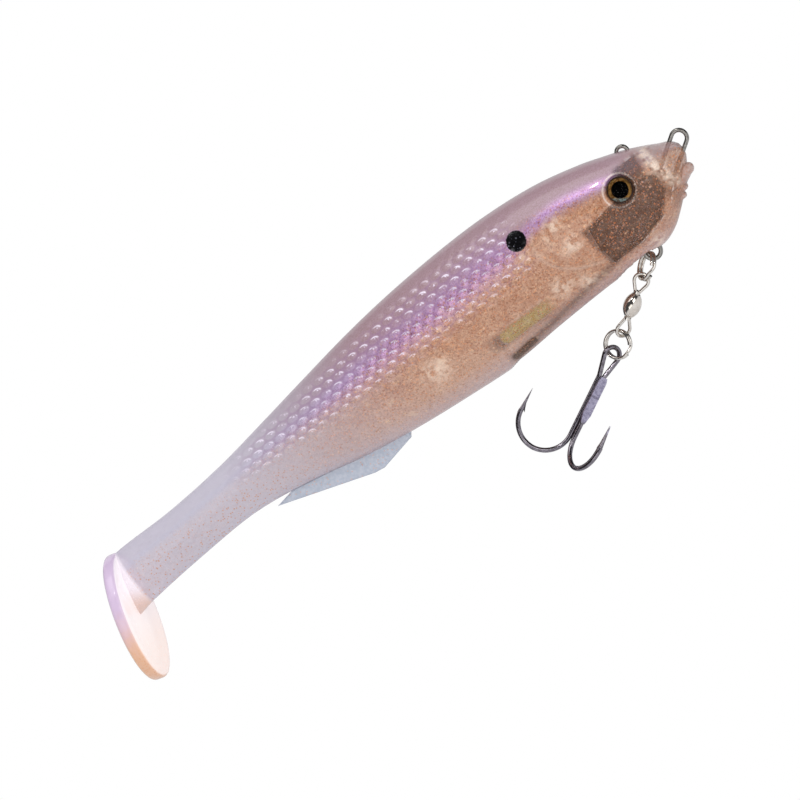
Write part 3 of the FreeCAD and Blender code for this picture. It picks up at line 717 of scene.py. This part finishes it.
# ---- The eyes -----------------------------------------------------------------------------------
# A gold foil iris with a printed black pupil, pressed into its socket under a clear dome.
# The foil is streaked. The dome is thin, and shows mostly by its reflections.
foil = Finish("iris_foil", Metallic=0.9)
at = foil.place()
streak = foil.noise(at, 1.6, 4.0, 0.7)
side = foil.node("ShaderNodeSeparateXYZ", None, {"Vector": at})
tall = foil.node("ShaderNodeSeparateXYZ", None, {"Vector": at}, out="Z")
ring = ((side - EYE_AT.x) ** 2 + (tall - EYE_AT.z) ** 2) ** 0.5
gold = foil.mix(streak.smooth(0.35, 0.65), tint(90, 56, 22), tint(178, 132, 70))
# A small blue-grey painted glint near the lower rear edge of the iris.
painted_gleam = (side * -1 - tall * 1.4 + streak * 1.5).smooth(19.0, 20.0)
gold = foil.mix(painted_gleam * 0.6 * streak.smooth(0.3, 0.55), gold, tint(120, 180, 190))
pupil_low, pupil_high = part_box("left_eye_pupil")
pupil_half = (pupil_high[0] - pupil_low[0]) / 2 / MM
gold = foil.mix(ring.smooth(pupil_half + 0.05, pupil_half - 0.1), gold, tint(3, 3, 4))
foil.give("Base Color", foil.mix(ring.smooth(2.25, 2.45), gold, tint(74, 56, 48)))
foil.give("Roughness", 0.22 + streak * 0.2)
foil.give("Normal", foil.bump(streak, 0.5, 0.0001))
dress(["left_eye_iris", "right_eye_iris"], foil)
jet = Finish("pupil_black", Specular_IOR_Level=0.15)
at = jet.place()
speckle = jet.noise(at, 4.0, 2.0, 0.5)
jet.give("Base Color", jet.mix(speckle, tint(3, 3, 4), tint(8, 7, 10)))
jet.give("Roughness", 0.1 + speckle * 0.1)
dress(["left_eye_pupil", "right_eye_pupil"], jet)
lens = Finish("eye_lens", Metallic=1.0)
at = lens.place()
haze = lens.noise(at, 1.2, 3.0, 0.5)
clear = lens.node("ShaderNodeBsdfTransparent")
edge = lens.node("ShaderNodeLayerWeight", None, {"Blend": 0.2}, out="Fresnel")
lens.give("Base Color", lens.mix(haze, tint(235, 225, 215), tint(255, 250, 246)))
lens.give("Roughness", 0.02 + haze * 0.03)
lens.mixed_surface(edge * 0.3, clear, Socket(lens, lens.shader.outputs[0]))
dress(["left_eye_dome", "right_eye_dome"], lens)

# ---- The hook keeper ----------------------------------------------------------------------------
# A yellow-green tube with a plug, with a thin plated magnet inside. It is set in the mould above the
# belly groove, and the plastic is poured round it.
tube = Finish("keeper_tube", Roughness=0.2, Coat_Weight=0.5, Emission_Strength=0.15)
at = tube.place()
haze = tube.noise(at, 0.9, 3.0, 0.6)
tube_hue = tube.mix(haze.smooth(0.3, 0.7), tint(232, 210, 112), tint(252, 244, 180))
tube.give("Base Color", tube_hue)
# The tube also glows faintly with its own hue: painted light standing in for light reaching it through the
# plastic.
tube.give("Emission Color", tube_hue)
tube.give("Alpha", 0.72 + haze * 0.2)
dress(["keeper_capsule", "capsule_plug"], tube)
plated = Finish("magnet_plate", Metallic=1.0)
at = plated.place()
haze = plated.noise(at, 2.0, 3.0, 0.6)
plated.give("Base Color", plated.mix(haze, tint(70, 68, 50), tint(110, 106, 84)))
plated.give("Roughness", 0.25 + haze * 0.2)
dress(["keeper_magnet"], plated)

# ---- The split rings and swivel -----------------------------------------------------------------
# Nickel-plated steel: two coiled rings, and a barrel swivel whose two eyes turn freely in its ends.
# The rings are wound from round wire, and join the swivel to the staple and to the treble.
nickel = Finish("bright_nickel", Metallic=1.0)
at = nickel.place()
wear = nickel.noise(at, 1.8, 5.0, 0.65)
nickel.give("Base Color", nickel.mix(wear.smooth(0.3, 0.7), tint(214, 206, 196), tint(236, 230, 222)))
nickel.give("Roughness", 0.08 + wear * 0.08)
dress(["front_split_ring", "rear_split_ring", "swivel_upper_eye", "swivel_lower_eye"], nickel)
barrel = Finish("barrel_nickel", Metallic=1.0)
at = barrel.place()
wear = barrel.noise(at, 1.2, 5.0, 0.65)
barrel.give("Base Color", barrel.mix(wear.smooth(0.3, 0.7), tint(220, 210, 198), tint(242, 234, 224)))
barrel.give("Roughness", 0.06 + wear * 0.08)
dress(["swivel_barrel"], barrel)

# ---- The treble hook ----------------------------------------------------------------------------
# Round high-carbon wire, ground and barbed, brazed three to a shank and plated in black nickel.
# One wire makes the eye and two of the hooks, and the third hook's shank is flattened against it.
black = Finish("black_nickel", Metallic=1.0)
at = black.place()
wear = black.noise(at, 1.5, 5.0, 0.65)
black.give("Base Color", black.mix(wear.smooth(0.3, 0.7), tint(112, 106, 112), tint(156, 150, 158)))
black.give("Roughness", 0.12 + wear * 0.1)
dress(["treble_double_hook"], black)
SHANK = Vector((-0.856, -0.2588, -0.4475))  # along the shank, from the eye to the bend
SHANK_FROM = Vector((-35.93, 0.72, -25.74))
flat = Finish("flattened_shank", Metallic=1.0)
at = flat.place()
wear = flat.noise(at, 1.5, 5.0, 0.65)
reached = flat.node("ShaderNodeVectorMath", {"operation": "DOT_PRODUCT"}, {0: at, 1: SHANK}, out="Value")
station = reached - SHANK_FROM.dot(SHANK)
plate = station.smooth(6.9, 7.4) * station.smooth(17.6, 16.6)
dot = flat.reckon("ABSOLUTE", station - 11.6).smooth(0.3, 0.15)
hue = flat.mix(wear.smooth(0.3, 0.7), tint(112, 106, 112), tint(156, 150, 158))
plate_hue = flat.mix(wear.smooth(0.35, 0.6), tint(150, 144, 168), tint(188, 182, 204))
hue = flat.mix(plate, hue, plate_hue)
flat.give("Base Color", flat.mix(plate * dot * 0.5, hue, tint(84, 76, 96)))
flat.give("Roughness", 0.12 + wear * 0.1 + plate * 0.16)
dress(["treble_single_hook"], flat)
braze = Finish("braze_metal", Metallic=1.0)
at = braze.place()
wear = braze.noise(at, 2.4, 4.0, 0.65)
braze.give("Base Color", braze.mix(wear, tint(140, 134, 156), tint(178, 172, 194)))
braze.give("Roughness", 0.3 + wear * 0.2)
dress(["treble_solder"], braze)

# ---- The studio ---------------------------------------------------------------------------------
# A white floor and surroundings, soft overhead and side lights, and a long lens on the fish's right side.
# The floor and the room look plain white, whatever light falls on them.
bm = bmesh.new()
bmesh.ops.create_grid(bm, x_segments=1, y_segments=1, size=1500)
bmesh.ops.translate(bm, vec=(-70, 0, -75), verts=bm.verts)
floor = moulded("studio_floor", bm, smooth=False)
paper = Finish("floor_paper", Roughness=0.9)
fibre = paper.noise(paper.place(), 0.02, 3.0, 0.5)
paper.give("Base Color", paper.mix(fibre, tint(232, 232, 234), tint(240, 240, 240)))
shown = paper.node("ShaderNodeEmission", None, {"Color": (1, 1, 1, 1), "Strength": 1.0})
seen = paper.node("ShaderNodeLightPath", out="Is Camera Ray")
paper.mixed_surface(seen, Socket(paper, paper.shader.outputs[0]), shown)
floor.data.materials.append(paper.material)

world = bpy.data.worlds.new("white_room")
bpy.context.scene.world = world
world.use_nodes = True
sky = world.node_tree


def wall(colour, strength):
    made = sky.nodes.new("ShaderNodeBackground")
    made.inputs["Color"].default_value = colour
    made.inputs["Strength"].default_value = strength
    return made.outputs[0]


def chosen(ray_kind, otherwise, then):
    made = sky.nodes.new("ShaderNodeMixShader")
    sky.links.new(ray.outputs[ray_kind], made.inputs[0])
    sky.links.new(otherwise, made.inputs[1])
    sky.links.new(then, made.inputs[2])
    return made.outputs[0]


ray = sky.nodes.new("ShaderNodeLightPath")
glow = wall((0.92, 0.95, 1.0, 1), 0.62)
dim = wall((0.9, 0.93, 1.0, 1), 0.07)
white = wall((1, 1, 1, 1), 1.0)
room = chosen("Is Camera Ray", chosen("Is Glossy Ray", glow, dim), white)
sky.links.new(room, sky.nodes["World Output"].inputs["Surface"])

AIM = Vector((-78.8, 0, -8.6)) * MM
LIGHTS = (  # name, place about the fish, size, power
    ("overhead_softbox", Vector((0.02, -0.16, 0.42)), 0.30, 0.5),
    ("front_softbox", Vector((0.30, -0.42, 0.10)), 0.25, 0.4),
    ("low_fill", Vector((-0.10, -0.45, -0.06)), 0.30, 0.38),
    ("rim_softbox", Vector((-0.10, 0.40, 0.22)), 0.40, 0.3),
    ("spark_lamp", Vector((0.12, -0.26, 0.30)), 0.03, 0.16),
)
for name, offset, size, power in LIGHTS:
    lamp = bpy.data.lights.new(name, "AREA")
    lamp.size = size
    lamp.energy = power
    held = bpy.data.objects.new(name, lamp)
    bpy.context.scene.collection.objects.link(held)
    held.location = AIM + offset
    held.rotation_euler = (-offset).to_track_quat("-Z", "Y").to_euler()

VIEW_TURN = math.radians(16.0)
VIEW_RISE = math.radians(2.0)
VIEW_ROLL = math.radians(37.3)
VIEW_FAR = 4.0
VIEW_WIDE = 0.160
ahead = Vector((-math.sin(VIEW_TURN), math.cos(VIEW_TURN), 0)) * math.cos(VIEW_RISE)
forward = ahead - Vector((0, 0, math.sin(VIEW_RISE)))
level = forward.cross(Vector((0, 0, 1))).normalized()
upright = level.cross(forward)
right = level * math.cos(VIEW_ROLL) - upright * math.sin(VIEW_ROLL)
above = level * math.sin(VIEW_ROLL) + upright * math.cos(VIEW_ROLL)
lens_data = bpy.data.cameras.new("studio_camera")
camera = bpy.data.objects.new("studio_camera", lens_data)
bpy.context.scene.collection.objects.link(camera)
turned = Matrix((right, above, -forward)).transposed()
camera.matrix_world = Matrix.Translation(AIM - forward * VIEW_FAR) @ turned.to_4x4()
lens_data.sensor_width = 36
lens_data.lens = 36 * VIEW_FAR / VIEW_WIDE
bpy.context.scene.camera = camera
bpy.context.scene.view_settings.view_transform = "Standard"
